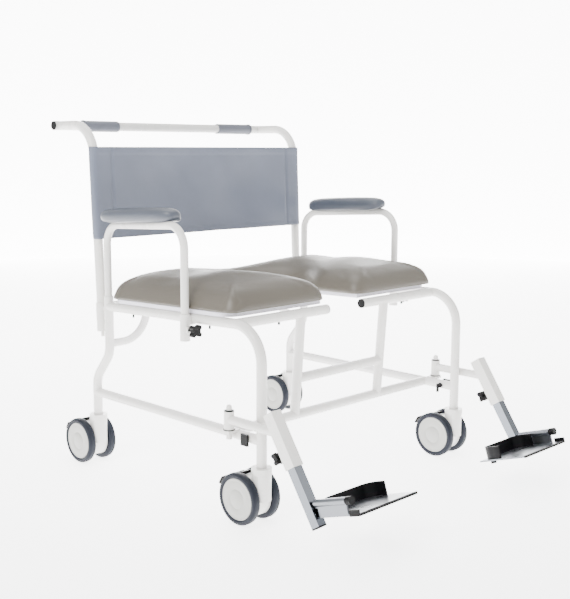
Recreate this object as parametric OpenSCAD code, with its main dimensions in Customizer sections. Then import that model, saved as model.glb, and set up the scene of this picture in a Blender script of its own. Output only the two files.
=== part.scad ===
// Wide attendant-pushed shower and commode wheelchair.
// White tube frame on four twin-wheel castors, horseshoe seat, sling back,
// lift-out armrests and two swing-away footrests with flip-up plates.
// Frame of reference: Z up from the floor, -Y is the way the sitter faces,
// X is across the chair, and the origin is on the floor at its middle.

/* [Frame] */
// Outside diameter of the frame tubes
tube_d = 25; // [22:1:30]
// Wall thickness of the frame tubes
tube_wall = 2; // [1.5:0.25:3]
// Distance between the left and the right legs
track_w = 756; // [628:2:900]
// Distance between the front and the rear castor pins
wheel_base = 657; // [560:1:780]
// Height of the seat rail at the front corner
rail_h = 469.5; // [430:0.5:520]
// How much lower the seat rail is where it meets the rear leg
rail_drop = 20; // [0:1:40]
// Height of the lower side rail
low_rail_h = 203.5; // [195:0.5:230]
// How far the rear leg steps forward above the castor
leg_step = 62; // [30:1:90]
// Bend radius of the seat rail's front corner
corner_r = 85; // [60:1:110]
// Bend radius of the rear leg's two bends
leg_bend_r = 60; // [40:1:80]
// Distance of the front rails behind the front legs
front_rail_back = 86; // [70:1:120]
// Open gap between the inner ends of the two front rails
front_gap = 137; // [90:1:200]
// Distance between the two inner posts
post_gap = 322; // [240:2:400]
// How far the inner posts lean back towards their foot
post_lean = 20; // [0:1:40]
// Height of the upper cross tube between the posts
mid_tube_h = 299.5; // [260:0.5:360]
// Height where the rear brace leaves the rear leg
brace_h = 348; // [342:1:380]
// Distance of the brace's upright from the rear leg
brace_in = 125; // [100:1:160]
// Bend radius of the rear brace
brace_r = 80; // [50:1:90]

/* [Seat] */
// Gap between the cushion's side and the armrest's front leg
seat_side_gap = 4; // [1:0.5:20]
// Depth of the cushion
seat_d = 478; // [420:1:480]
// Gap between the cushion's rear edge and the rear legs
seat_gap = 3; // [1:0.5:20]
// Thickness of the seat board
board_t = 10; // [6:1:18]
// Height of the cushion at its edge
cushion_edge_t = 44; // [30:1:60]
// Extra height of the cushion's crown
cushion_crown_t = 16; // [6:1:24]
// Corner radius of the seat in plan
seat_corner_r = 46; // [20:1:80]
// Width of the front slot
slot_w = 136; // [120:2:200]
// Diameter of the round opening behind the slot
aperture_d = 210; // [180:2:260]
// Distance of the opening's centre behind the seat's front edge
aperture_back = 265; // [200:1:300]

/* [Back] */
// Height of the push bar
push_bar_h = 931; // [910:1:1120]
// Distance of the push bar behind the bent posts
push_reach = 159; // [120:1:200]
// Bend radius of the handle tubes
handle_r = 85; // [60:1:100]
// How far the bar passes each handle tube
bar_overhang = 18; // [16:1:40]
// Backward lean of the posts in degrees
back_lean = 2.45; // [0:0.05:5]
// Gap between each post and the rear leg at the sleeve
sleeve_gap = 6.5; // [5:0.5:14]
// Lower end of the back sleeves
sleeve_z = 379; // [370:1:400]
// Length of the back sleeves
sleeve_len = 77; // [50:1:90]
// Height of the sling's lower edge
sling_z = 629; // [600:1:660]
// Height of the sling from edge to edge
sling_h = 245; // [200:1:250]
// Thickness of the sling cloth
sling_t = 2.4; // [1.5:0.1:4]
// Length of the right push grip
grip_len_right = 114; // [100:1:150]
// Length of the left push grip
grip_len_left = 134; // [100:1:150]
// Outside diameter of the push grips
grip_d = 31; // [30:0.5:36]
// Distance of the right grip's middle from the centre
grip_x_right = 243; // [200:1:270]
// Distance of the left grip's middle from the centre
grip_x_left = 264; // [200:1:270]

/* [Armrests] */
// Outside diameter of the armrest tube
arm_d = 20; // [16:0.5:20]
// Height of the arm tube above the floor at its rear bend
arm_h = 669; // [640:1:700]
// Rise of the arm tube from rear to front
arm_rise = 19; // [0:1:30]
// Distance from the rear arm leg forward to the front arm leg
arm_run = 350; // [300:1:380]
// Bend radius of the arm tube
arm_bend_r = 55; // [40:1:70]
// Depth of the rear arm leg inside the frame leg
arm_insert = 70; // [40:1:90]
// Length of the arm pad
pad_len = 278; // [240:1:300]
// Width of the arm pad
pad_w = 62; // [50:1:70]
// Thickness of the arm pad
pad_t = 48; // [40:1:56]
// Height of the front arm socket
socket_len = 66; // [50:1:80]

/* [Footrests] */
// Distance of the swing hinge behind the front leg
hinge_back = 85; // [60:1:120]
// Height of the hinge sleeve
hinge_sleeve_h = 43; // [36:1:52]
// Outside diameter of the swing arm tube
swing_d = 22; // [18:1:24]
// Outside size of the square hanger tube
hanger_w = 30; // [28:1:36]
// Outside size of the square sliding leg
leg_w = 24; // [20:1:24]
// Length of the hanger tube
hanger_len = 132; // [110:1:160]
// Lean of the hanger from the upright in degrees
hanger_lean = 33.3; // [20:0.1:40]
// Leg length showing below the right hanger
leg_out_right = 137; // [100:1:150]
// Leg length showing below the left hanger
leg_out_left = 153; // [100:1:170]
// Leg length held inside the hanger
leg_in = 66; // [50:1:90]
// Upward tilt of the footplate in degrees
plate_tilt = 18; // [0:0.5:25]
// Width of the footplate across the chair
plate_w = 192; // [150:1:196]
// Depth of the footplate from heel to toe
plate_d = 136; // [110:1:150]
// Thickness of the footplate
plate_t = 4; // [3:0.5:8]
// Height of the hinge bar above the footplate
plate_drop = 28; // [22:1:36]
// Diameter of the footplate's hinge bar
bar_d = 10; // [8:0.5:12]
// Height of the heel strap
strap_h = 32; // [20:1:40]
// Inward turn of the left footrest in degrees
left_turn_in = 0; // [-2:0.1:0]

/* [Castors] */
// Diameter of the castor wheels
wheel_d = 125; // [100:1:130]
// Width of each tyre
wheel_w = 21; // [16:1:26]
// Gap between the two wheels of a castor
wheel_gap = 45; // [40:1:50]
// Distance of the axle behind the castor pin
trail = 41; // [34:1:50]
// Diameter of the castor's top collar
collar_d = 49; // [40:1:54]
// Diameter of the castor pin
pin_d = 12; // [10:1:14]
// Diameter of the wheel axle
axle_d = 10; // [8:1:12]

/* [Fits] */
// Radial clearance of turning and sliding round fits
run_gap = 0.06; // [0.02:0.01:0.1]
// Clearance between pieces that pass one another
free_gap = 0.5; // [0.3:0.1:1]

/* [Hidden] */
$fn = 64;

white = "whitesmoke";
black = "#202022";
chrome_c = "silver";
pad_c = "slategray";

// Places along the chair
mid_y = 76.4;
front_y = mid_y - wheel_base / 2;
rear_y = mid_y + wheel_base / 2;
upper_y = rear_y - leg_step;
half_w = track_w / 2;
tube_r = tube_d / 2;
bore_d = tube_d - 2 * tube_wall;
cope_d = tube_d + 0.2;
butt_gap = 0.02;
rail_run = upper_y - front_y;
rail_tilt = atan(rail_drop / rail_run);
cross_y = front_y + front_rail_back;
low_cross_y = cross_y + post_lean;
leg_top_z = rail_h - rail_drop + tube_r + 16;
leg_foot_z = wheel_d + 16;

// Back posts
post_y = upper_y + tube_r + sleeve_gap + tube_r;
sleeve_wall = 2.5;
post_foot_z = sleeve_z + 6;

// Seat
seat_w = 2 * (half_w + tube_r + 0.5 - seat_side_gap);
seat_rear_y = upper_y - tube_r - seat_gap;
seat_front_y = seat_rear_y - seat_d;

// Armrests
arm_front_x = half_w + tube_r + arm_d / 2 + 0.5;
arm_turn = atan((arm_front_x - half_w) / arm_run);
arm_span = norm([arm_front_x - half_w, arm_run]);
arm_front_y = upper_y - arm_run;
socket_wall = 2.5;

// Footrests
hinge_x = half_w + tube_r + swing_d / 2 + 0.9;
hinge_y = front_y + hinge_back;
hinge_z = low_rail_h + tube_r + 4;
hinge_pin_d = 10;
arm_z = hinge_z + hinge_sleeve_h * 0.55;
hanger_top_y = -143;
hanger_top_z = 45;
hanger_bore = leg_w + 0.4;
plate_inset = 6;

// Castors
wheel_r = wheel_d / 2;
hood_r = wheel_r - 12;
body_w = wheel_gap - 3;
hub_d = wheel_d * 0.8;
pedal_r = hood_r + 3;

function rail_z(y) = rail_h - rail_drop * (y - front_y) / rail_run;
function unit(v) = v / norm(v);
function cross2(a, b) = a[0] * b[1] - a[1] * b[0];
function turn_of(p, i) =
  let (a = unit(p[i] - p[i - 1]), b = unit(p[i + 1] - p[i]))
  atan2(cross2(a, b), a * b);
function setback(p, r, i) = (i <= 0 || i >= len(p) - 1) ? 0 : r * tan(abs(turn_of(p, i)) / 2);
function butt(p, r, i) = (i <= 0 || i >= len(p) - 1) ? 0 : setback(p, r, i) + butt_gap;

// Shapes kept on the right side and mirrored to the left
module both() {
  children();
  mirror([1, 0, 0]) children();
}

// A drawing in the XY plane stood up so that X runs along Y and Y runs up
module side_plane() {
  rotate([90, 0, 90]) children();
}

// Solid round bar between two points
module rod(a, b, d) {
  v = b - a;
  translate(a)
    rotate([0, acos(v[2] / norm(v)), atan2(v[1], v[0])])
      cylinder(h = norm(v), d = d);
}

// Round tube between two points
module pipe(a, b, d, wall) {
  u = unit(b - a);
  difference() {
    rod(a, b, d);
    rod(a - u, b + u, d - 2 * wall);
  }
}

// Tube in the XY plane along a line of points with rounded corners
module bent_pipe(p, r, d, wall) {
  n = len(p) - 1;
  for (i = [0 : n - 1]) {
    u = unit(p[i + 1] - p[i]);
    a = p[i] + u * butt(p, r, i);
    b = p[i + 1] - u * butt(p, r, i + 1);
    pipe([a[0], a[1], 0], [b[0], b[1], 0], d, wall);
  }
  for (i = [1 : n - 1]) {
    u = unit(p[i] - p[i - 1]);
    w = unit(p[i + 1] - p[i]);
    t = turn_of(p, i);
    side = sign(t);
    s = p[i] - u * setback(p, r, i);
    c = s + side * r * [-u[1], u[0]];
    e = p[i] + w * setback(p, r, i);
    from = side > 0 ? s - c : e - c;
    translate([c[0], c[1], 0])
      rotate([0, 0, atan2(from[1], from[0])])
        rotate_extrude(angle = abs(t), $fn = 128)
          translate([r, 0]) difference() {
            circle(d = d);
            circle(d = d - 2 * wall);
          }
  }
}

// Rounded rectangle centred on the origin
module round_rect(w, d, r) {
  square([w - 2 * r, d], center = true);
  square([w, d - 2 * r], center = true);
  for (x = [-1, 1], y = [-1, 1])
    translate([x * (w / 2 - r), y * (d / 2 - r)]) circle(r = r);
}

// Four-lobed hand knob along +Z with its stud reaching back to the origin
module star_knob(reach, d, h) {
  lobe_d = d * 0.3;
  cylinder(h = reach, d = 8);
  translate([0, 0, reach]) {
    cylinder(h = h, d = d * 0.62);
    for (a = [45 : 90 : 315])
      rotate([0, 0, a]) {
        translate([(d - lobe_d) / 2, 0, 0]) cylinder(h = h, d = lobe_d);
        translate([0, -lobe_d / 2, 0]) cube([(d - lobe_d) / 2, lobe_d, h]);
      }
  }
}

// ---- Outer shapes of the main tubes, used to cope what is welded to them ----

module upper_leg_core() {
  rod([-half_w, upper_y, 300], [-half_w, upper_y, leg_top_z], cope_d);
}

module lower_leg_core() {
  rod([-half_w, rear_y, leg_foot_z], [-half_w, rear_y, 260], cope_d);
}

module side_rail_core() {
  back = upper_y - front_y - corner_r;
  rod([-half_w, upper_y, rail_z(upper_y)],
      [-half_w, upper_y - back, rail_z(upper_y - back)], cope_d);
}

module front_leg_core() {
  rod([-half_w, front_y, leg_foot_z], [-half_w, front_y, rail_h - corner_r], cope_d);
}

module lower_rail_core() {
  rod([-half_w, rear_y, low_rail_h], [-half_w, front_y, low_rail_h], cope_d);
}

module front_rail_core() {
  rod([-half_w, cross_y, rail_z(cross_y)], [-front_gap / 2, cross_y, rail_z(cross_y)], cope_d);
}

module low_tube_core() {
  rod([-half_w, low_cross_y, low_rail_h], [half_w, low_cross_y, low_rail_h], cope_d);
}

function post_top() = [-post_gap / 2, cross_y, rail_z(cross_y)];
function post_foot() = [-post_gap / 2, low_cross_y, low_rail_h];

module post_core() {
  rod(post_top(), post_foot(), cope_d);
}

// ---- Frame ----

module rear_legs() {
  line = [[upper_y, leg_top_z], [upper_y, 320], [rear_y, 245], [rear_y, leg_foot_z]];
  color(white) both() translate([-half_w, 0, 0]) side_plane()
    bent_pipe(line, leg_bend_r, tube_d, tube_wall);
}

module side_rails() {
  line = [[upper_y, rail_z(upper_y)], [front_y, rail_h], [front_y, leg_foot_z]];
  color(white) both() difference() {
    translate([-half_w, 0, 0]) side_plane() bent_pipe(line, corner_r, tube_d, tube_wall);
    upper_leg_core();
  }
}

module lower_rails() {
  pivot_y = hinge_y - 46;
  color(white) both()
    difference() {
      pipe([-half_w, rear_y, low_rail_h], [-half_w, front_y, low_rail_h], tube_d, tube_wall);
      lower_leg_core();
      front_leg_core();
      rod([-half_w - tube_d, pivot_y, low_rail_h], [-half_w + tube_d, pivot_y, low_rail_h],
          latch_pin_d + 2 * run_gap);
    }
}

module front_rails() {
  color(white) both()
    difference() {
      pipe([-half_w, cross_y, rail_z(cross_y)], [-front_gap / 2, cross_y, rail_z(cross_y)],
           tube_d, tube_wall);
      side_rail_core();
    }
}

module inner_posts() {
  color(white) both()
    difference() {
      pipe(post_top(), post_foot(), tube_d, tube_wall);
      front_rail_core();
      low_tube_core();
    }
}

module cross_tubes() {
  k = (mid_tube_h - low_rail_h) / (rail_z(cross_y) - low_rail_h);
  y = low_cross_y - post_lean * k;
  color(white) {
    difference() {
      pipe([-half_w, low_cross_y, low_rail_h], [half_w, low_cross_y, low_rail_h],
           tube_d, tube_wall);
      both() lower_rail_core();
    }
    difference() {
      pipe([-post_gap / 2, y, mid_tube_h], [post_gap / 2, y, mid_tube_h], tube_d, tube_wall);
      both() post_core();
    }
  }
}

module rear_brace() {
  rail_top = rail_z(upper_y);
  up_x = half_w - brace_in;
  line = [[-half_w, brace_h], [-up_x, brace_h], [-up_x, rail_top]];
  color(white) {
    difference() {
      pipe([-half_w, upper_y, rail_top], [half_w, upper_y, rail_top], tube_d, tube_wall);
      both() upper_leg_core();
      both() side_rail_core();
    }
    both() difference() {
      translate([0, upper_y, 0]) rotate([90, 0, 0]) bent_pipe(line, brace_r, tube_d - 3, tube_wall);
      upper_leg_core();
      rod([-half_w, upper_y, rail_top], [half_w, upper_y, rail_top], cope_d);
    }
  }
}

// Line of a back post and its handle in the side plane
function back_line() = [
  [post_y, post_foot_z],
  [post_y + (push_bar_h - post_foot_z) * tan(back_lean), push_bar_h],
  [post_y + (push_bar_h - post_foot_z) * tan(back_lean) + push_reach, push_bar_h]
];

module sleeve_rod(z0, z1, d) {
  k = tan(back_lean);
  rod([-half_w, post_y + (z0 - post_foot_z) * k, z0],
      [-half_w, post_y + (z1 - post_foot_z) * k, z1], d);
}

module back_sleeves() {
  sleeve_top = sleeve_z + sleeve_len;
  outer_d = tube_d + 2 * (sleeve_wall + run_gap);
  color(white) both()
    difference() {
      union() {
        sleeve_rod(sleeve_z, sleeve_top, outer_d);
        for (z = [sleeve_z + 8, sleeve_top - 20])
          translate([-half_w - 5, upper_y, z]) cube([10, post_y - upper_y, 12]);
        sleeve_rod(sleeve_z - 15, sleeve_z, 9);
      }
      sleeve_rod(post_foot_z - 0.5, sleeve_top + 1, tube_d + 2 * run_gap);
      upper_leg_core();
      side_rail_core();
      rod([-half_w, upper_y, rail_z(upper_y)], [half_w, upper_y, rail_z(upper_y)], cope_d);
    }
}

module arm_sockets() {
  top_z = rail_z(arm_front_y) + tube_r;
  outer_d = arm_d + 2 * (run_gap + socket_wall);
  color(white) both()
    difference() {
      union() {
        translate([-arm_front_x, arm_front_y, top_z - socket_len])
          cylinder(h = socket_len, d = outer_d);
        translate([-arm_front_x - 6, arm_front_y - outer_d / 2 - 4, top_z - 44])
          cube([12, 12, 14]);
        translate([-arm_front_x, arm_front_y - 12, top_z - 26])
          cube([arm_front_x - half_w, 24, 22]);
      }
      translate([-arm_front_x, arm_front_y, top_z - socket_len + 3])
        cylinder(h = socket_len, d = arm_d + 2 * run_gap);
      rod([-arm_front_x, arm_front_y, top_z - 37], [-arm_front_x, arm_front_y - 40, top_z - 37],
          8 + 2 * run_gap);
      side_rail_core();
    }
}

module rail_plugs() {
  color(black) both() {
    x = -front_gap / 2;
    rod([x - 12, cross_y, rail_z(cross_y)], [x, cross_y, rail_z(cross_y)], bore_d - 0.1);
    rod([x, cross_y, rail_z(cross_y)], [x + 2.5, cross_y, rail_z(cross_y)], tube_d - 1);
  }
}

module rail_clips() {
  color(black) both() {
    for (y = [front_y + 180, upper_y - 110])
      difference() {
        translate([-half_w, y, rail_z(y) - tube_r - 8]) cylinder(h = 12, d = 5);
        side_rail_core();
      }
    difference() {
      translate([-half_w + 140, cross_y, rail_z(cross_y) - tube_r - 6]) cylinder(h = 10, d = 6);
      front_rail_core();
    }
  }
}

module castor_pins() {
  color(chrome_c)
    for (x = [-half_w, half_w], y = [front_y, rear_y])
      translate([x, y, 0]) {
        translate([0, 0, leg_foot_z - 45]) cylinder(h = 45.2, d = pin_d);
        translate([0, 0, leg_foot_z + 0.2]) cylinder(h = 40, d = bore_d - 0.1);
      }
}

module hinge_pins() {
  top_z = hinge_z + hinge_sleeve_h;
  color(white) both() {
    difference() {
      union() {
        translate([-hinge_x - 12, hinge_y - 12, hinge_z - 9]) cube([hinge_x + 12 - half_w, 24, 7]);
        translate([-hinge_x, hinge_y, hinge_z - 9]) cylinder(h = 7, d = 26);
      }
      lower_rail_core();
    }
    translate([-hinge_x, hinge_y, 0]) {
      translate([0, 0, hinge_z - 24]) cylinder(h = 15, d = 14);
      translate([0, 0, hinge_z - 2]) cylinder(h = hinge_sleeve_h + 5, d = hinge_pin_d);
      translate([0, 0, top_z + 3]) cylinder(h = 6, d = 14);
      translate([0, 0, top_z + 9]) difference() {
        sphere(d = 14);
        translate([-10, -10, -20]) cube(20);
      }
    }
  }
}

module hinge_washers() {
  hole = hinge_pin_d + 0.1;
  color(black) both() translate([-hinge_x, hinge_y, 0]) {
    translate([0, 0, hinge_z - 2]) difference() {
      cylinder(h = 1.7, d = 29);
      translate([0, 0, -1]) cylinder(h = 4, d = hole);
    }
    translate([0, 0, hinge_z + hinge_sleeve_h + 0.3]) difference() {
      cylinder(h = 1.7, d = 24);
      translate([0, 0, -1]) cylinder(h = 4, d = hole);
    }
  }
}

// ---- Seat ----

// Places a drawing on the tilted plane that the seat rails carry, at seat front
module on_rails(lift) {
  translate([0, front_y, rail_h]) rotate([-rail_tilt, 0, 0])
    translate([0, 0, tube_r + 0.4 + lift]) children();
}

module seat_outline(inset) {
  d = seat_d - 2 * inset;
  near = seat_front_y - front_y + inset;
  centre = seat_front_y + aperture_back - front_y;
  difference() {
    translate([0, near + d / 2]) round_rect(seat_w - 2 * inset, d, seat_corner_r - inset / 2);
    translate([0, centre]) circle(d = aperture_d + 2 * inset);
    translate([-slot_w / 2 - inset, near - 20]) square([slot_w + 2 * inset, centre - near + 20]);
  }
}

module seat_board() {
  color("lavender") on_rails(0)
    linear_extrude(height = board_t) seat_outline(3);
}

module seat_cushion() {
  color("rosybrown") on_rails(board_t + 0.02) {
    linear_extrude(height = cushion_edge_t) seat_outline(0);
    translate([0, 0, cushion_edge_t])
      linear_extrude(height = cushion_crown_t / 2) seat_outline(16);
    translate([0, 0, cushion_edge_t + cushion_crown_t / 2])
      linear_extrude(height = cushion_crown_t / 2) seat_outline(38);
  }
}

// ---- Back ----

module back_posts() {
  bar_y = back_line()[2][0];
  color(white) both()
    difference() {
      translate([-half_w, 0, 0]) side_plane()
        bent_pipe(back_line(), handle_r, tube_d, tube_wall);
      rod([-half_w - 40, bar_y, push_bar_h], [-half_w + 40, bar_y, push_bar_h], cope_d);
    }
}

module push_bar() {
  bar_y = back_line()[2][0];
  end_x = half_w + bar_overhang;
  color(white) pipe([-end_x, bar_y, push_bar_h], [end_x, bar_y, push_bar_h], tube_d, tube_wall);
}

module push_grip(at_x, l) {
  bar_y = back_line()[2][0];
  difference() {
    union() {
      rod([at_x - l / 2, bar_y, push_bar_h], [at_x + l / 2, bar_y, push_bar_h], grip_d);
      rod([at_x - l / 2 - 3, bar_y, push_bar_h], [at_x - l / 2, bar_y, push_bar_h], grip_d + 3);
    }
    rod([at_x - l, bar_y, push_bar_h], [at_x + l, bar_y, push_bar_h], tube_d + 0.1);
  }
}

module push_grips() {
  color("dimgray") {
    push_grip(-grip_x_right, grip_len_right);
    mirror([1, 0, 0]) push_grip(-grip_x_left, grip_len_left);
  }
}

module bar_plugs() {
  bar_y = back_line()[2][0];
  end_x = half_w + bar_overhang;
  color(black) both() {
    rod([-end_x, bar_y, push_bar_h], [-end_x + 12, bar_y, push_bar_h], bore_d - 0.1);
    rod([-end_x - 2.5, bar_y, push_bar_h], [-end_x, bar_y, push_bar_h], tube_d - 1);
  }
}

module back_sling() {
  k = tan(back_lean);
  y_at = post_y + (sling_z - post_foot_z) * k;
  pocket_d = tube_d + 0.6;
  pocket_h = min(sling_h, push_bar_h - handle_r - sling_z - 2);
  color("lightslategray")
    translate([0, y_at, sling_z]) rotate([-back_lean, 0, 0])
      difference() {
        union() {
          for (x = [-half_w, half_w])
            translate([x, 0, 0]) cylinder(h = pocket_h, d = pocket_d + 2 * sling_t);
          translate([-half_w, -pocket_d / 2 - sling_t, 0]) cube([track_w, sling_t, sling_h]);
        }
        for (x = [-half_w, half_w])
          translate([x, 0, -1]) cylinder(h = sling_h + 2, d = pocket_d);
      }
}

// ---- Armrests ----

// The arm tube's plane: X runs forward from the rear leg, Y runs up
module arm_plane() {
  translate([-half_w, upper_y, 0]) rotate([0, 0, -arm_turn]) rotate([90, 0, -90]) children();
}

function arm_points() = [
  [0, leg_top_z - arm_insert],
  [0, arm_h],
  [arm_span, arm_h + arm_rise],
  [arm_span, rail_z(arm_front_y) + tube_r - socket_len + 6]
];

module arm_tube() {
  color(white) arm_plane() bent_pipe(arm_points(), arm_bend_r, arm_d, 1.5);
}

module arm_pad() {
  pitch = atan(arm_rise / arm_span);
  color(pad_c) arm_plane()
    translate([arm_span / 2 - 13, arm_h + arm_rise / 2 - 0.7, 0]) rotate([0, 0, pitch])
      difference() {
        translate([0, 0, -pad_w * 0.04])
          rotate([0, 90, 0])
            translate([0, pad_t / 2 - arm_d / 2 - 2, -pad_len / 2])
              linear_extrude(height = pad_len) round_rect(pad_w, pad_t, 14);
        translate([-pad_len, 0, 0]) rotate([0, 90, 0]) cylinder(h = 2 * pad_len, d = arm_d + 0.6);
        translate([-pad_len, -pad_t, -pad_w]) cube([2 * pad_len, pad_t, 2 * pad_w]);
      }
}

module arm_knob() {
  color(black)
    translate([-arm_front_x, arm_front_y - arm_d / 2 - 1, rail_z(arm_front_y) + tube_r - 37])
      rotate([90, 0, 0]) star_knob(22, 36, 13);
}

// ---- Latches ----

latch_pin_d = 8;

module latch(inward) {
  pivot_y = hinge_y - 46;
  out_x = -half_w - tube_r - 1;
  in_x = -half_w + tube_r + 1;
  color(black) translate([0, pivot_y, low_rail_h]) {
    rod([out_x - 1, 0, 0], [in_x + 1, 0, 0], latch_pin_d);
    translate([out_x - 7, -11, -16]) cube([6, 22, 28]);
    translate([out_x - 1.5, 0, 0]) rotate([0, 90, 0]) cylinder(h = 1.5, d = 14);
    translate([in_x, 0, 0]) rotate([0, 90, 0]) cylinder(h = 1.5, d = 14);
    translate([in_x + 1.5, -9, -3]) cube([5, 15, 6]);
    translate([in_x + 1.5, 3, -20]) cube([5, 6, 23]);
  }
}

// ---- Footrests ----

// Right footrest frame: origin on the hinge axis, turned in about it
module foot_frame(turn) {
  translate([-hinge_x, hinge_y, 0]) rotate([0, 0, turn]) children();
}

// Frame on the hanger: Z runs down the leg from the hanger's top end
module hanger_frame(turn) {
  foot_frame(turn)
    translate([0, hanger_top_y, hinge_z + hinge_sleeve_h / 2 + hanger_top_z])
      rotate([180 - hanger_lean, 0, 0]) children();
}

module square_bar(w, h) {
  translate([-w / 2, -w / 2, 0]) cube([w, w, h]);
}

module swing_arm(turn) {
  color(white) difference() {
    union() {
      foot_frame(turn) {
        translate([0, 0, hinge_z]) cylinder(h = hinge_sleeve_h, d = 25);
        rod([0, 0, arm_z], [0, hanger_top_y - 22, arm_z], swing_d);
      }
      hanger_frame(turn) square_bar(hanger_w, hanger_len);
    }
    foot_frame(turn)
      translate([0, 0, hinge_z - 1]) cylinder(h = hinge_sleeve_h + 2, d = hinge_pin_d + 2 * run_gap);
    hanger_frame(turn) {
      translate([0, 0, 3]) square_bar(hanger_bore, hanger_len);
      translate([0, 0, hanger_len - 36]) rotate([90, 0, 0])
        cylinder(h = hanger_w, d = 8 + 2 * run_gap);
    }
  }
}

module hanger_knob(turn) {
  color(black) hanger_frame(turn)
    translate([0, -leg_w / 2 - 1, hanger_len - 36]) rotate([90, 0, 0]) star_knob(18, 34, 12);
}

module foot_leg(turn, out) {
  color(chrome_c) hanger_frame(turn) {
    difference() {
      translate([0, 0, hanger_len - leg_in]) square_bar(leg_w, leg_in + out);
      translate([0, 0, hanger_len - leg_in - 1]) square_bar(leg_w - 3, leg_in + out + 2);
    }
  }
  color(chrome_c) bar_frame(turn, out) difference() {
    rod([0, 0, -8], [0, 0, plate_d - 24], bar_d);
    translate([-leg_w, -leg_w, -20]) cube([2 * leg_w, 2 * leg_w, 20.5]);
  }
}

// Frame on the footplate's hinge bar: Z runs forward along the bar, Y runs up
module bar_frame(turn, out) {
  along = hanger_len + out - 58;
  foot_frame(turn)
    translate([0, hanger_top_y, hinge_z + hinge_sleeve_h / 2 + hanger_top_z])
      translate([0, -along * sin(hanger_lean) - leg_w / 2 / cos(hanger_lean) - 2,
                 -along * cos(hanger_lean)])
        rotate([90 - plate_tilt, 0, 0]) children();
}

module leg_plugs(turn, out) {
  color(black) {
    hanger_frame(turn) {
      translate([0, 0, hanger_len + out]) square_bar(leg_w, 3.5);
      translate([0, 0, hanger_len + out - 12]) square_bar(leg_w - 3.2, 12);
    }
    bar_frame(turn, out) difference() {
      translate([0, 0, plate_d - 36]) cylinder(h = 14, d = 19);
      translate([0, 0, plate_d - 37]) cylinder(h = 13, d = bar_d + 0.1);
    }
  }
}

module footplate(turn, out) {
  knuckle_l = plate_d - 42;
  color(chrome_c) bar_frame(turn, out) difference() {
    union() {
      translate([0, 0, 4]) cylinder(h = knuckle_l, d = bar_d + 7);
      translate([-4, -plate_drop, 4]) cube([4, plate_drop, knuckle_l]);
      translate([-4, -plate_drop - plate_t, plate_inset - 12]) cube([plate_w, plate_t, plate_d]);
    }
    translate([0, 0, 3]) cylinder(h = knuckle_l + 2, d = bar_d + 2 * run_gap);
    translate([-30, -plate_drop - plate_t - 1, -30])
      cube([30 + leg_w / 2 + 2, plate_drop + plate_t - bar_d, 42]);
  }
}

module plate_trim(turn, out) {
  front = plate_inset - 12 + plate_d;
  color(black) bar_frame(turn, out) {
    translate([-4, -plate_drop - plate_t - 1, front]) cube([plate_w, plate_t + 2, 3]);
    translate([-7, -plate_drop - plate_t - 1, front - 26]) cube([3, plate_t + 10, 29]);
    translate([plate_w - 24, -plate_drop - plate_t, 22]) rotate([90, 0, 0]) cylinder(h = 8, d = 15);
  }
}

// Heel strap: a bow round the back of the heel, standing on the plate
module heel_strap(turn, out) {
  bow_r = 34;
  left = 18;
  right = plate_w - 10;
  color(black) bar_frame(turn, out)
    translate([0, -plate_drop + 0.05, 0]) rotate([-90, 0, 0])
      linear_extrude(height = strap_h)
        difference() {
          translate([(left + right) / 2, -35]) round_rect(right - left, 2 * bow_r, bow_r - 6);
          translate([(left + right) / 2, -35]) round_rect(right - left - 5, 2 * bow_r - 5, bow_r - 8);
          translate([0, -134]) square([plate_w, 80]);
        }
}

// ---- Castors ----

// Castor frame: origin under the pin, +Y towards the trailing wheels
module castor_at(x, y) {
  translate([x, y, 0]) children();
}

module wheel_disc(x0, x1, d) {
  translate([x0, trail, wheel_r]) rotate([0, 90, 0]) cylinder(h = x1 - x0, d = d, $fn = 96);
}

module castor_body(x, y) {
  w = body_w / 2;
  color(white) castor_at(x, y) difference() {
    union() {
      translate([0, 0, leg_foot_z - 15]) cylinder(h = 14.7, d = collar_d);
      intersection() {
        translate([0, 0, wheel_r]) cylinder(h = leg_foot_z - 15 - wheel_r, d = collar_d - 3);
        translate([-w, -40, 0]) cube([2 * w, 80, leg_foot_z]);
      }
      difference() {
        wheel_disc(-w, w, 2 * hood_r);
        translate([-50, -60, -20]) cube([100, 200, 44]);
      }
      wheel_disc(-wheel_gap / 2 - wheel_w + 3, wheel_gap / 2 + wheel_w - 3, axle_d);
    }
    translate([0, 0, leg_foot_z - 46]) cylinder(h = 60, d = pin_d + 2 * run_gap);
    difference() {
      wheel_disc(-8, 8, 2 * hood_r - 12);
      wheel_disc(-9, 9, 26);
      translate([-20, -40, 0]) cube([40, 60, 200]);
    }
  }
}

module castor_tyres(x, y) {
  in_x = wheel_gap / 2;
  color("darkslategray") castor_at(x, y) for (s = [0, 1]) mirror([s, 0, 0])
    difference() {
      union() {
        wheel_disc(in_x + 3, in_x + wheel_w - 3, wheel_d);
        wheel_disc(in_x, in_x + wheel_w, wheel_d - 6);
      }
      wheel_disc(in_x - 1, in_x + wheel_w + 1, hub_d);
    }
}

module castor_hubs(x, y) {
  in_x = wheel_gap / 2;
  color("gainsboro") castor_at(x, y) for (s = [0, 1]) mirror([s, 0, 0])
    difference() {
      wheel_disc(in_x + 0.5, in_x + wheel_w - 1.5, hub_d);
      wheel_disc(in_x - 1, in_x + wheel_w - 2.5, axle_d + 2 * run_gap);
    }
}

module brake_pedal(x, y) {
  t = 6;
  arc = 52;
  pad_r = wheel_r + 3;
  color(black) castor_at(x, y) translate([0, trail, wheel_r]) rotate([0, -90, 0]) {
    translate([0, 0, -12]) rotate([0, 0, 8]) rotate_extrude(angle = arc, $fn = 128)
      translate([pedal_r, 0]) square([t, 24]);
    rotate([0, 0, 8 + arc - 1]) {
      translate([pedal_r + 1, -1, -10]) cube([pad_r + 3 - pedal_r, 9, 20]);
      translate([pad_r + 1, -4, -36]) cube([5, 20, 72]);
    }
  }
}

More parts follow.
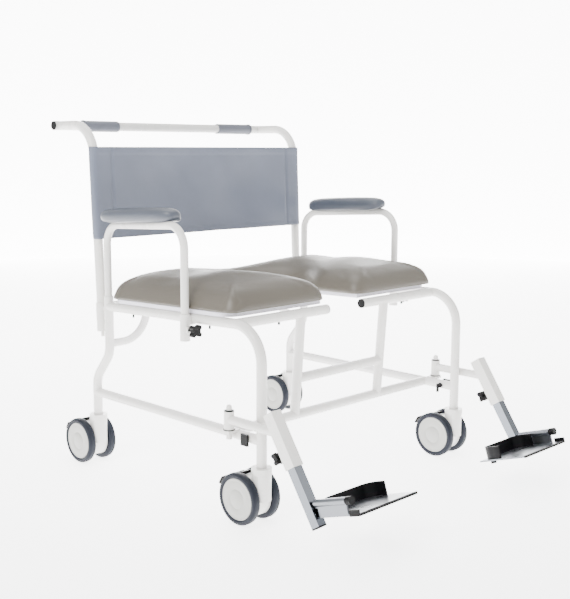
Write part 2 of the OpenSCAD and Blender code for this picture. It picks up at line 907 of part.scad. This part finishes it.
// ---- Build list ----

side_rails();
rear_legs();
lower_rails();
front_rails();
inner_posts();
cross_tubes();
rear_brace();
back_sleeves();
arm_sockets();
rail_plugs();
rail_clips();
castor_pins();
hinge_pins();
hinge_washers();
seat_board();
seat_cushion();
back_posts();
push_bar();
push_grips();
bar_plugs();
back_sling();
arm_tube();  // arm_tube_r
arm_pad();  // arm_pad_r
arm_knob();  // arm_knob_r
mirror([1, 0, 0]) arm_tube();  // arm_tube_l
mirror([1, 0, 0]) arm_pad();  // arm_pad_l
mirror([1, 0, 0]) arm_knob();  // arm_knob_l
latch();  // latch_r
mirror([1, 0, 0]) latch();  // latch_l
swing_arm(0);  // swing_arm_r
hanger_knob(0);  // hanger_knob_r
foot_leg(0, leg_out_right);  // foot_leg_r
leg_plugs(0, leg_out_right);  // leg_plugs_r
footplate(0, leg_out_right);  // footplate_r
plate_trim(0, leg_out_right);  // plate_trim_r
heel_strap(0, leg_out_right);  // heel_strap_r
mirror([1, 0, 0]) swing_arm(left_turn_in);  // swing_arm_l
mirror([1, 0, 0]) hanger_knob(left_turn_in);  // hanger_knob_l
mirror([1, 0, 0]) foot_leg(left_turn_in, leg_out_left);  // foot_leg_l
mirror([1, 0, 0]) leg_plugs(left_turn_in, leg_out_left);  // leg_plugs_l
mirror([1, 0, 0]) footplate(left_turn_in, leg_out_left);  // footplate_l
mirror([1, 0, 0]) plate_trim(left_turn_in, leg_out_left);  // plate_trim_l
mirror([1, 0, 0]) heel_strap(left_turn_in, leg_out_left);  // heel_strap_l
castor_body(-half_w, front_y);  // castor_body_fr
castor_tyres(-half_w, front_y);  // castor_tyres_fr
castor_hubs(-half_w, front_y);  // castor_hubs_fr
brake_pedal(-half_w, front_y);  // brake_pedal_fr
castor_body(half_w, front_y);  // castor_body_fl
castor_tyres(half_w, front_y);  // castor_tyres_fl
castor_hubs(half_w, front_y);  // castor_hubs_fl
brake_pedal(half_w, front_y);  // brake_pedal_fl
castor_body(-half_w, rear_y);  // castor_body_rr
castor_tyres(-half_w, rear_y);  // castor_tyres_rr
castor_hubs(-half_w, rear_y);  // castor_hubs_rr
brake_pedal(-half_w, rear_y);  // brake_pedal_rr
castor_body(half_w, rear_y);  // castor_body_rl
castor_tyres(half_w, rear_y);  // castor_tyres_rl
castor_hubs(half_w, rear_y);  // castor_hubs_rl
brake_pedal(half_w, rear_y);  // brake_pedal_rl
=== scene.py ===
import math
import bpy
import numpy as np
from mathutils import Matrix, Vector


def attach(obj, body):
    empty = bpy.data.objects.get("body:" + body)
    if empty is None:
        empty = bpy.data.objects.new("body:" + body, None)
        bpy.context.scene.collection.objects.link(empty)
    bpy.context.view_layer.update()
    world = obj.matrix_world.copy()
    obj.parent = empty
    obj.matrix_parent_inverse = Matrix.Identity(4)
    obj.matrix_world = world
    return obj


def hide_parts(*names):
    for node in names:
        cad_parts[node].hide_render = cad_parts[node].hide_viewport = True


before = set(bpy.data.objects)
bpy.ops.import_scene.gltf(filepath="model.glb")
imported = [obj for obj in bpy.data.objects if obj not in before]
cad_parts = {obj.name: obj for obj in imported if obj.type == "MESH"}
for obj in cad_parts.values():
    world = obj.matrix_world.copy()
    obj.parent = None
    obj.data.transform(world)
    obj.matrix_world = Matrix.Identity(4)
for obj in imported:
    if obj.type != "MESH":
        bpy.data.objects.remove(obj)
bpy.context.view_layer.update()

# ---- Frame tubes -------------------------------------------------------
# Every welded and pulled-out tube keeps its modelled shape and gets a satin
# white powder coat, with the fine orange peel that such paint has.
PAINT = "#D8D6D2"
SIDES = ("r", "l")
CASTORS = ("fr", "fl", "rr", "rl")
PAINTED = ["side_rails", "rear_legs", "lower_rails", "front_rails", "inner_posts",
           "cross_tubes", "rear_brace", "back_sleeves", "arm_sockets", "hinge_pins",
           "back_posts", "push_bar", "arm_tube_r", "arm_tube_l", "swing_arm_r",
           "swing_arm_l"]


def srgb(text):
    """A web colour as linear light: each channel is undone from its gamma curve."""
    c = [int(text[i:i + 2], 16) / 255 for i in (1, 3, 5)]
    return tuple(x / 12.92 if x <= 0.04045 else ((x + 0.055) / 1.055) ** 2.4 for x in c) + (1.0,)


def add(mat, kind, at, **values):
    """One shader node, with constant values put on its sockets by name."""
    n = mat.node_tree.nodes.new(kind)
    n.location = at
    for key, value in values.items():
        n.inputs[key.replace("_", " ")].default_value = value
    return n


def finish(name, colour, rough, metal=0.0, coat=0.0, grain_mm=0.6, bump=0.05,
           cell=False, mottle=0.0, mottle_mm=60.0, spec=0.5, rough_span=0.05):
    """A surface with a colour, a fine grain that dents it, and a slow blotch in colour and gloss."""
    mat = bpy.data.materials.new(name)
    mat.use_nodes = True
    link = mat.node_tree.links.new
    skin = mat.node_tree.nodes["Principled BSDF"]
    skin.inputs["Metallic"].default_value = metal
    skin.inputs["Coat Weight"].default_value = coat
    skin.inputs["Specular IOR Level"].default_value = spec
    where = add(mat, "ShaderNodeTexCoord", (-1100, 0))
    blotch = add(mat, "ShaderNodeTexNoise", (-800, 260), Scale=1000 / mottle_mm, Detail=4.0)
    link(where.outputs["Object"], blotch.inputs["Vector"])
    dark = tuple(c * (1 - mottle) for c in srgb(colour)[:3]) + (1.0,)
    shade = mat.node_tree.nodes.new("ShaderNodeMix")
    shade.name = "colour blotch"
    shade.data_type = "RGBA"
    shade.location = (-500, 260)
    shade.inputs[6].default_value = dark
    shade.inputs[7].default_value = srgb(colour)
    link(blotch.outputs["Fac"], shade.inputs[0])
    link(shade.outputs[2], skin.inputs["Base Color"])
    gloss = add(mat, "ShaderNodeMapRange", (-500, 0), From_Min=0.3, From_Max=0.7,
                To_Min=max(rough - rough_span, 0.02), To_Max=rough + rough_span)
    gloss.interpolation_type = "SMOOTHSTEP"
    link(blotch.outputs["Fac"], gloss.inputs["Value"])
    link(gloss.outputs["Result"], skin.inputs["Roughness"])
    if cell:
        grain = add(mat, "ShaderNodeTexVoronoi", (-800, -260), Scale=1000 / grain_mm)
        out = grain.outputs["Distance"]
    else:
        grain = add(mat, "ShaderNodeTexNoise", (-800, -260), Scale=1000 / grain_mm, Detail=3.0)
        out = grain.outputs["Fac"]
    grain.name = "surface grain"
    link(where.outputs["Object"], grain.inputs["Vector"])
    dent = add(mat, "ShaderNodeBump", (-400, -260), Strength=min(bump * 4, 1.0),
               Distance=grain_mm / 4000)
    link(out, dent.inputs["Height"])
    link(dent.outputs["Normal"], skin.inputs["Normal"])
    return mat


def dress(names, mat):
    """A modelled node keeps its shape and gets this finish."""
    for name in names:
        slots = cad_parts[name].data.materials
        slots.clear()
        slots.append(mat)


paint = finish("white_powder_coat", PAINT, 0.3, coat=0.25, grain_mm=1.2, bump=0.04)
dress(PAINTED, paint)

# ---- Black plastic fittings --------------------------------------------
# Tube plugs, hand knobs, clips, latches, washers, brake levers and the
# footplate's edge are moulded black plastic with a slight sheen.
BLACK = "#060607"
FITTINGS = (["rail_plugs", "rail_clips", "hinge_washers", "bar_plugs"]
            + [f"{n}_{s}" for s in SIDES for n in ("arm_knob", "hanger_knob", "latch",
                                                   "leg_plugs", "plate_trim")]
            + [f"brake_pedal_{c}" for c in CASTORS])
black = finish("black_moulded_plastic", BLACK, 0.42, spec=0.14, grain_mm=0.5, bump=0.05)
dress(FITTINGS, black)

# ---- Chrome and plate --------------------------------------------------
# The sliding legs and castor pins are bright chrome, and the footplates
# are polished aluminium with faint polishing blotches.
# Painted reflection: the chrome's base colour is darker than real chrome, standing in for the dark
# bands its surroundings mirror on it.
chrome = finish("bright_chrome", "#74787E", 0.14, metal=1.0, grain_mm=3.0, bump=0.01,
                mottle=0.08, rough_span=0.04)
dress(["castor_pins", "foot_leg_r", "foot_leg_l"], chrome)
plate = finish("polished_aluminium", "#7E8186", 0.3, metal=1.0, grain_mm=2.0, bump=0.03,
               mottle=0.12, mottle_mm=40, rough_span=0.03)
dress(["footplate_r", "footplate_l"], plate)

# ---- Castors -----------------------------------------------------------
# Each castor has two turned wheels: a tyre with rounded shoulders, and a
# dished disc with a ring and a centre cap. The hood between them is white,
# above a dark lower bracket on the axle.
WHEEL_R, TRAIL = 0.0625, 0.041
INNER_X, TYRE_W = 0.0225, 0.021
HALF_TRACK, FRONT_Y, REAR_Y = 0.378, -0.2521, 0.4049
TYRE = [(0.0, 0.0500), (0.0, 0.0575), (0.0012, 0.0600), (0.0035, 0.0617), (0.0070, 0.0624),
        (0.0140, 0.0624), (0.0175, 0.0617), (0.0198, 0.0600), (0.0210, 0.0575),
        (0.0210, 0.0535), (0.0202, 0.0515), (0.0190, 0.0505), (0.0185, 0.0500)]
DISC = [(0.0010, 0.0060), (0.0010, 0.0499), (0.0182, 0.0499), (0.0194, 0.0492),
        (0.0196, 0.0480), (0.0190, 0.0466), (0.0186, 0.0440), (0.0190, 0.0420),
        (0.0194, 0.0250), (0.0188, 0.0240), (0.0190, 0.0228), (0.0199, 0.0216),
        (0.0202, 0.0120), (0.0206, 0.0105), (0.0208, 0.0000)]
BRACKET_R, BRACKET_HALF, BRACKET_TOP = 0.0385, 0.030, 0.004


def turned(profile, steps=96):
    """Points and faces of a profile of (across, radius) turned about the X axis."""
    ang = np.linspace(0, 2 * np.pi, steps, endpoint=False)
    p = np.array(profile)
    v = np.stack([np.repeat(p[:, 0][:, None], steps, 1), p[:, 1][:, None] * np.cos(ang),
                  p[:, 1][:, None] * np.sin(ang)], -1).reshape(-1, 3)
    f = [(i * steps + j, i * steps + (j + 1) % steps, (i + 1) * steps + (j + 1) % steps,
          (i + 1) * steps + j) for i in range(len(p) - 1) for j in range(steps)]
    return v, f


def piece(name, verts, faces, mat, body, smooth=True):
    """A finished mesh at the origin that rides on a body."""
    mesh = bpy.data.meshes.new(name)
    mesh.from_pydata([tuple(v) for v in np.asarray(verts, float)], [], faces)
    mesh.validate()
    mesh.polygons.foreach_set("use_smooth", [smooth] * len(mesh.polygons))
    mesh.materials.append(mat)
    obj = bpy.data.objects.new(name, mesh)
    bpy.context.scene.collection.objects.link(obj)
    if body:
        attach(obj, body)
    return obj


def joined(parts):
    """Several point and face lists as one."""
    verts, faces, base = [], [], 0
    for v, f in parts:
        verts.append(np.asarray(v))
        faces += [tuple(base + i for i in q) for q in f]
        base += len(v)
    return np.concatenate(verts), faces


tyre_mat = finish("dark_tread_rubber", "#1B1E26", 0.5, spec=0.16, grain_mm=0.8, bump=0.08)
disc_mat = finish("light_grey_hub", "#A5A5A0", 0.38, grain_mm=1.0, bump=0.03)
bracket_mat = finish("dark_grey_bracket", "#5A5C63", 0.4, grain_mm=0.6, bump=0.05)
for c in CASTORS:
    x = -HALF_TRACK if c[1] == "r" else HALF_TRACK
    y = (FRONT_Y if c[0] == "f" else REAR_Y) + TRAIL
    for profile, mat, part, old, slot in (
            (TYRE, tyre_mat, "tyres", f"castor_tyres_{c}", "tyre_rubber"),
            (DISC, disc_mat, "discs", f"castor_hubs_{c}", "hub_plastic")):
        both = []
        for s in (-1, 1):
            v, f = turned(profile)
            v = v * [s, 1, 1] + [x + s * INNER_X, y, WHEEL_R]
            both.append((v, f if s < 0 else [q[::-1] for q in f]))
        v, f = joined(both)
        obj = piece(f"{part}_{c}", v, f, mat, f"wheels_{c}")
        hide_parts(old)
    lower = []
    ang = np.linspace(math.radians(200), math.radians(340), 24)
    outer = [(BRACKET_R * math.cos(t), BRACKET_R * math.sin(t)) for t in ang]
    shape = outer + [(BRACKET_HALF, BRACKET_TOP), (-BRACKET_HALF, BRACKET_TOP)]
    n = len(shape)
    for w, inset in ((-0.017, 0.0015), (-0.0155, 0), (0.0155, 0), (0.017, 0.0015)):
        small = 1 - inset / BRACKET_R
        lower += [(x + w, y + p * small, WHEEL_R + q * small) for p, q in shape]
    f = [(k * n + i, k * n + (i + 1) % n, (k + 1) * n + (i + 1) % n, (k + 1) * n + i)
         for k in range(3) for i in range(n)]
    f += [tuple(range(n))[::-1], tuple(range(3 * n, 4 * n))]
    bracket = piece(f"bracket_{c}", lower, f, bracket_mat, f"castor_{c}", smooth=False)
dress([f"castor_body_{c}" for c in CASTORS], paint)

# ---- Seat --------------------------------------------------------------
# A horseshoe cushion on a pale board. Its outline is a rounded rectangle
# with a front slot that opens into a round hole, and its top swells to a
# crown and rolls over at every edge, as upholstery over foam does.
SEAT_W, SEAT_REAR, SEAT_FRONT = 0.781, 0.3275, -0.1630
SEAT_TILT, BOARD_TOP = math.atan(20 / 595), 0.4928
SLOT_HALF, HOLE_R, HOLE_Y = 0.056, 0.098, 0.112
SEAT_CORNER, SLOT_BLEND, LOBE_BLEND = 0.034, 0.050, 0.036
ROLL_W, ROLL_H, CROWN_W, CROWN_H, SIDE_H = 0.050, 0.029, 0.062, 0.043, 0.006


def smooth_max(a, b, k):
    """The larger of two fields, rounded over a distance k where they cross."""
    h = np.clip(0.5 + 0.5 * (a - b) / k, 0, 1)
    return b * (1 - h) + a * h + k * h * (1 - h)


def smooth_min(a, b, k):
    """The smaller of two fields, rounded over a distance k where they cross."""
    return -smooth_max(-a, -b, k)


def seat_field(x, y):
    """Distance to the horseshoe's outline, negative inside: a rounded box less the slot and hole."""
    mid, half = (SEAT_REAR + SEAT_FRONT) / 2, (SEAT_REAR - SEAT_FRONT) / 2
    r = SEAT_CORNER
    qx, qy = np.abs(x) - SEAT_W / 2 + r, np.abs(y - mid) - half + r
    outer = np.hypot(np.maximum(qx, 0), np.maximum(qy, 0)) + np.minimum(np.maximum(qx, qy), 0) - r
    slot = np.maximum(np.abs(x) - SLOT_HALF, y - HOLE_Y)
    hole = np.hypot(x, y - HOLE_Y) - HOLE_R
    gap = smooth_min(slot, hole, SLOT_BLEND)
    return smooth_max(outer, -gap, LOBE_BLEND)


def cushion_mesh(cell=0.005):
    """A grid over the outline, its rim drawn onto the outline, as a top and a bottom skin.
    The top rolls up over ROLL_W and goes on as a slow crown, lower between the lobes."""
    gx = np.arange(-0.40, 0.4001, cell)
    gy = np.arange(-0.17, 0.3401, cell)
    X, Y = np.meshgrid(gx, gy, indexing="ij")
    d = seat_field(X, Y)
    e = 1e-4
    nx = (seat_field(X + e, Y) - seat_field(X - e, Y)) / (2 * e)
    ny = (seat_field(X, Y + e) - seat_field(X, Y - e)) / (2 * e)
    use = d < 0
    full = use[:-1, :-1] & use[1:, :-1] & use[:-1, 1:] & use[1:, 1:]
    keep = np.zeros_like(use)
    for i, j in ((0, 0), (1, 0), (0, 1), (1, 1)):
        keep[i:i + full.shape[0], j:j + full.shape[1]] |= full
    inside = np.zeros_like(use)
    inside[1:-1, 1:-1] = full[:-1, :-1] & full[1:, :-1] & full[:-1, 1:] & full[1:, 1:]
    rim = keep & ~inside
    X = np.where(rim, X - d * nx, X)
    Y = np.where(rim, Y - d * ny, Y)
    d = np.where(rim, 0.0, d)
    t = np.clip(-d / ROLL_W, 0, 1)
    roll = (1 - (1 - t) ** 2.6) ** 0.62
    dome = 1 - np.exp(-np.clip(-d, 0, None) / CROWN_W)
    back = np.clip((Y - 0.10) / 0.22, 0, 1)
    lobes = 1 - 0.15 * np.exp(-(X / 0.12) ** 2) * back
    thigh = 0.0035 * np.cos((Y - 0.02) / 0.10 * np.pi) * dome
    top = ROLL_H * roll + (CROWN_H - 0.004 * back) * dome * lobes + thigh
    index = -np.ones(keep.shape, int)
    index[keep] = np.arange(keep.sum())
    n = int(keep.sum())
    up = np.stack([X[keep], Y[keep], SIDE_H + top[keep]], 1)
    low = np.stack([X[keep], Y[keep], np.zeros(n)], 1)
    faces = []
    for i, j in zip(*np.nonzero(full)):
        q = (index[i, j], index[i + 1, j], index[i + 1, j + 1], index[i, j + 1])
        faces.append(tuple(int(k) for k in q))
        faces.append(tuple(int(k) + n for k in q[::-1]))
    edge = {}
    for q in faces[::2]:
        for a, b in zip(q, q[1:] + q[:1]):
            edge[(a, b)] = 1
    faces += [(b, a, a + n, b + n) for a, b in edge if (b, a) not in edge]
    return np.concatenate([up, low]), faces


def on_seat(v):
    """Cushion points, drawn flat, set on the board's slight backward slope."""
    v = np.asarray(v, float).copy()
    v[:, 2] = v[:, 2] * math.cos(SEAT_TILT) + BOARD_TOP - (v[:, 1] - FRONT_Y) * math.tan(SEAT_TILT)
    return v


def swell(obj, voxel, pressure, cap, stapled):
    """Remeshes a cushion evenly and lets cloth under pressure settle it, with capped movement."""
    bpy.context.view_layer.objects.active = obj
    remesh = obj.modifiers.new("even mesh", "REMESH")
    remesh.mode = "VOXEL"
    remesh.voxel_size = voxel
    bpy.ops.object.modifier_apply(modifier=remesh.name)
    mesh = obj.data
    start = np.empty(len(mesh.vertices) * 3)
    mesh.vertices.foreach_get("co", start)
    start = start.reshape(-1, 3)
    pins = obj.vertex_groups.new(name="stapled edge")
    held = np.nonzero(stapled(start))[0]
    pins.add([int(i) for i in held], 1.0, "REPLACE")
    cloth = obj.modifiers.new("swell", "CLOTH")
    cloth.settings.use_pressure = True
    cloth.settings.uniform_pressure_force = pressure
    cloth.settings.effector_weights.gravity = 0
    cloth.settings.vertex_group_mass = pins.name
    cloth.settings.quality = 4
    scene = bpy.context.scene
    for k in range(1, 15):
        scene.frame_set(k)
    bpy.ops.object.modifier_apply(modifier=cloth.name)
    scene.frame_set(1)
    mesh = obj.data
    now = np.empty(len(mesh.vertices) * 3)
    mesh.vertices.foreach_get("co", now)
    move = now.reshape(-1, 3) - start
    far = np.linalg.norm(move, axis=1, keepdims=True)
    now = start + move * np.minimum(1, cap / np.maximum(far, 1e-9))
    mesh.vertices.foreach_set("co", now.ravel())
    soften = obj.modifiers.new("relax", "SMOOTH")
    soften.iterations = 6
    bpy.ops.object.modifier_apply(modifier=soften.name)
    mesh = obj.data
    mesh.polygons.foreach_set("use_smooth", [True] * len(mesh.polygons))
    mesh.update()


seat_mat = finish("warm_grey_vinyl", "#575249", 0.42, grain_mm=1.6, bump=0.10, cell=True,
                  mottle=0.12, mottle_mm=140, rough_span=0.04)
v, f = cushion_mesh()
cushion = piece("cushion", on_seat(v), f, seat_mat, "seat")
swell(cushion, voxel=0.005, pressure=4.0, cap=0.003,
      stapled=lambda p: p[:, 2] < BOARD_TOP - (p[:, 1] - FRONT_Y) * math.tan(SEAT_TILT) + SIDE_H)
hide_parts("seat_cushion")
board_mat = finish("pale_board", "#E0DEE8", 0.4, grain_mm=1.0, bump=0.03)
dress(["seat_board"], board_mat)

# ---- Back sling --------------------------------------------------------
# One cloth stretched between the posts: it wraps round each post into a
# sewn pocket, sags back a little between them, and has a hem at top and
# bottom and a pressed crease beside each pocket.
SLING_X, SLING_Y, SLING_Z0, SLING_H = 0.378, 0.3744, 0.6290, 0.2445
SLING_R, LEAN = 0.0142, math.radians(2.45)


def sling_mesh(nu=220, nv=60):
    """A sheet whose middle bows back by a sine arch with slow creases, and whose two
    ends roll round the posts as arcs to a seam behind."""
    wrap = np.linspace(1.75 * np.pi, 0, 26)[:-1]
    left = np.stack([-SLING_X + SLING_R * np.sin(-wrap), -SLING_R * np.cos(wrap)], 1)
    x = np.linspace(-SLING_X, SLING_X, nu)
    flat = np.stack([x, np.full(nu, -SLING_R)], 1)
    line = np.concatenate([left, flat, left[::-1] * [-1, 1]])
    s = np.linspace(0, 1, nv)
    V = []
    for t in s:
        p = line.copy()
        arch = np.clip(1 - (p[:, 0] / (SLING_X - 0.012)) ** 2, 0, 1)
        sag = 0.010 * arch * (0.6 + 0.4 * np.cos((t - 0.5) * np.pi))
        wave = (0.0022 * np.sin(p[:, 0] * 31 + 3 * t) + 0.0016 * np.sin(p[:, 0] * 17 - 5 * t + 1)
                + 0.0007 * np.sin(p[:, 0] * 70 + 9 * t) * np.exp(-((t - 0.85) / 0.25) ** 2))
        band = np.exp(-((np.abs(p[:, 0]) - (SLING_X - 0.047)) / 0.004) ** 2) * 0.0030
        inner = np.abs(p[:, 0]) < SLING_X - 1e-4
        y = p[:, 1] + np.where(inner, sag + wave * arch + band, 0)
        hem = 0.0006 if (t < 0.05 or t > 0.93) else 0
        z = SLING_Z0 + t * SLING_H
        V.append(np.stack([p[:, 0], SLING_Y + y - hem + (z - 0.385) * math.tan(LEAN) - 0.0002,
                           np.full(len(p), z)], 1))
    n = len(line)
    f = [(i * n + j, i * n + j + 1, (i + 1) * n + j + 1, (i + 1) * n + j)
         for i in range(nv - 1) for j in range(n - 1)]
    return np.concatenate(V), f, float(np.linalg.norm(np.diff(line, axis=0), axis=1).sum())


sling_mat = finish("blue_grey_coated_cloth", "#666C7B", 0.33, grain_mm=0.9, bump=0.10,
                   mottle=0.24, mottle_mm=150, rough_span=0.05)
v, f, width = sling_mesh()
sling = piece("sling", v, f, sling_mat, "back")
thick = sling.modifiers.new("cloth thickness", "SOLIDIFY")
thick.thickness = 0.0014
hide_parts("back_sling")

# ---- Arm pads ----------------------------------------------------------
# Each pad is a long moulded cushion over the arm tube, with full rounded
# ends, a soft crown, a flatter underside and a lower inboard edge.
PAD_W, PAD_T = 0.062, 0.038
PAD_MID, PAD_X, PAD_Z = 0.180, 0.392, 0.7015
PAD_LENGTH = {"r": 0.280, "l": 0.312}
PAD_PITCH, PAD_TURN = math.atan(19 / 350), math.atan(23 / 350)
PAD_DROOP = 0.010
pad_mat = finish("blue_grey_pad_vinyl", "#434852", 0.36, grain_mm=1.4, bump=0.08, cell=True,
                 mottle=0.10, mottle_mm=60, coat=0.08)


def pad_mesh(length, side, nu=72, nv=56):
    """A rounded bar: its section is a squarish oval whose size falls off as a fourth-power
    ellipse towards each end, and its inboard side hangs a little lower."""
    u = np.sin(np.linspace(-np.pi / 2, np.pi / 2, nu))
    a = np.linspace(0, 2 * np.pi, nv, endpoint=False)
    V = []
    for t in u:
        k = (1 - abs(t) ** 7) ** (1 / 2.3)
        c, s = np.cos(a), np.sin(a)
        w = PAD_W / 2 * np.sign(c) * np.abs(c) ** 0.72 * max(k, 0.001)
        h = PAD_T / 2 * np.sign(s) * np.abs(s) ** np.where(s > 0, 0.85, 0.62) * max(k, 0.001)
        droop = -PAD_DROOP * np.clip(side * c, 0, 1) ** 2.4 * np.where(s > 0, 0.45, 1.0) * k
        V.append(np.stack([w, np.full(nv, t * length / 2), h + droop + 0.002 * (1 - t * t)], 1))
    f = [(i * nv + j, i * nv + (j + 1) % nv, (i + 1) * nv + (j + 1) % nv, (i + 1) * nv + j)
         for i in range(nu - 1) for j in range(nv)]
    f += [tuple(range(nv))[::-1], tuple(range((nu - 1) * nv, nu * nv))]
    return np.concatenate(V), f


for s in SIDES:
    sx = -1 if s == "r" else 1
    v, f = pad_mesh(PAD_LENGTH[s], -sx)
    turn = Matrix.Rotation(-PAD_TURN * sx, 3, "Z") @ Matrix.Rotation(-PAD_PITCH, 3, "X")
    v = v @ np.array(turn).T + [sx * PAD_X, PAD_MID, PAD_Z]
    pad = piece(f"pad_{s}", v, [q[::-1] for q in f], pad_mat, f"armrest_{s}")
    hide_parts(f"arm_pad_{s}")

# ---- Push grips and heel straps ----------------------------------------
# The grips keep their modelled shape in soft grey vinyl, and the straps are
# black webbing standing in a bow on each footplate.
grip_mat = finish("soft_grip", "#5D6069", 0.5, grain_mm=1.0, bump=0.08, cell=True)
dress(["push_grips"], grip_mat)
strap_mat = finish("black_webbing", "#0B0B0D", 0.4, spec=0.16, grain_mm=1.2, bump=0.03)
dress(["heel_strap_r", "heel_strap_l"], strap_mat)

# ---- Studio ------------------------------------------------------------
# A white sweep, one large soft key from the left, a broad top light and a
# weak fill, and the camera that sees the whole chair.
FLOOR_HALF, WALL_R, WALL_TOP, WALL_GLOW = 9, 5.5, 3.0, 6.5
HEADING, DIP, TIP, LENS = (math.radians(a) for a in (45.03, 8.71, 0.19, 32.1175))
EYE = (-1.90293, -1.84991, 0.87239)


def glowing(name, near, far, low, high):
    """White whose glow rises with the distance behind the chair, so that its shadow still shows."""
    mat = finish(name, "#FFFFFF", 0.9, grain_mm=50, bump=0.0)
    skin = mat.node_tree.nodes["Principled BSDF"]
    where = mat.node_tree.nodes["Texture Coordinate"]
    behind = add(mat, "ShaderNodeVectorMath", (-500, -500))
    behind.operation = "DOT_PRODUCT"
    behind.inputs[1].default_value = (0.7071, 0.7071, 0.0)
    ramp = add(mat, "ShaderNodeMapRange", (-250, -500), From_Min=near, From_Max=far,
               To_Min=low, To_Max=high)
    ramp.interpolation_type = "SMOOTHSTEP"
    mat.node_tree.links.new(where.outputs["Object"], behind.inputs[0])
    mat.node_tree.links.new(behind.outputs["Value"], ramp.inputs["Value"])
    mat.node_tree.links.new(ramp.outputs["Result"], skin.inputs["Emission Strength"])
    skin.inputs["Emission Color"].default_value = (1, 1, 1, 1)
    return mat


# Painted light: the floor glows, dimmer under and near the chair and brighter behind it, so that its
# far part reads as brightly lit.
floor_mat = glowing("studio_floor", -2.2, 1.8, 2.4, 5.5)
floor = piece("floor", [(x * FLOOR_HALF, y * FLOOR_HALF, 0) for x, y in
                        ((-1, -1), (1, -1), (1, 1), (-1, 1))],
              [(0, 1, 2, 3)], floor_mat, None, smooth=False)
wall_mat = glowing("studio_wall", 0.1, 0.2, WALL_GLOW, WALL_GLOW)
ring = [(WALL_R * math.cos(a), WALL_R * math.sin(a)) for a in np.radians(np.arange(15, 76, 5.0))]
wall = piece("wall", [(x, y, z) for z in (-0.01, WALL_TOP) for x, y in ring],
             [(i, i + 1, i + 1 + len(ring), i + len(ring)) for i in range(len(ring) - 1)],
             wall_mat, None)
card_mat = finish("dark_card", "#0A0A0A", 0.9, grain_mm=50, bump=0.0)
card = piece("dark_card", [(-4.6, -2.4, 0.02), (-2.4, -4.6, 0.02), (-2.4, -4.6, 1.1),
                           (-4.6, -2.4, 1.1)],
             [(0, 1, 2, 3)], card_mat, None, smooth=False)
for name, at, power, size, aim in (
        ("key", (-3.4, -0.6, 3.2), 165, 1.8, (0, 0, 0.5)),
        ("top", (0.4, 0.9, 4.2), 105, 3.0, (0, 0, 0.4)),
        ("fill", (2.6, -3.4, 1.8), 12, 2.0, (0, 0, 0.4))):
    lamp = bpy.data.lights.new(name, "AREA")
    lamp.energy, lamp.size = power, size
    obj = bpy.data.objects.new(name, lamp)
    obj.location = at
    obj.rotation_euler = (Vector(aim) - Vector(at)).to_track_quat("-Z", "Y").to_euler()
    bpy.context.scene.collection.objects.link(obj)
world = bpy.data.worlds.new("studio")
world.use_nodes = True
world.node_tree.nodes["Background"].inputs[0].default_value = (1, 1, 1, 1)
world.node_tree.nodes["Background"].inputs[1].default_value = 1.35
bpy.context.scene.world = world

look = Vector((math.sin(HEADING) * math.cos(DIP), math.cos(HEADING) * math.cos(DIP), -math.sin(DIP)))
right = Vector((math.cos(HEADING), -math.sin(HEADING), 0))
up = right.cross(look)
right, up = right * math.cos(TIP) + up * math.sin(TIP), up * math.cos(TIP) - right * math.sin(TIP)
cam = bpy.data.cameras.new("camera")
cam.sensor_fit = "HORIZONTAL"
cam.angle = LENS
eye = bpy.data.objects.new("camera", cam)
place = Matrix((right, up, -look)).transposed().to_4x4()
place.translation = Vector(EYE)
eye.matrix_world = place
bpy.context.scene.collection.objects.link(eye)
bpy.context.scene.camera = eye
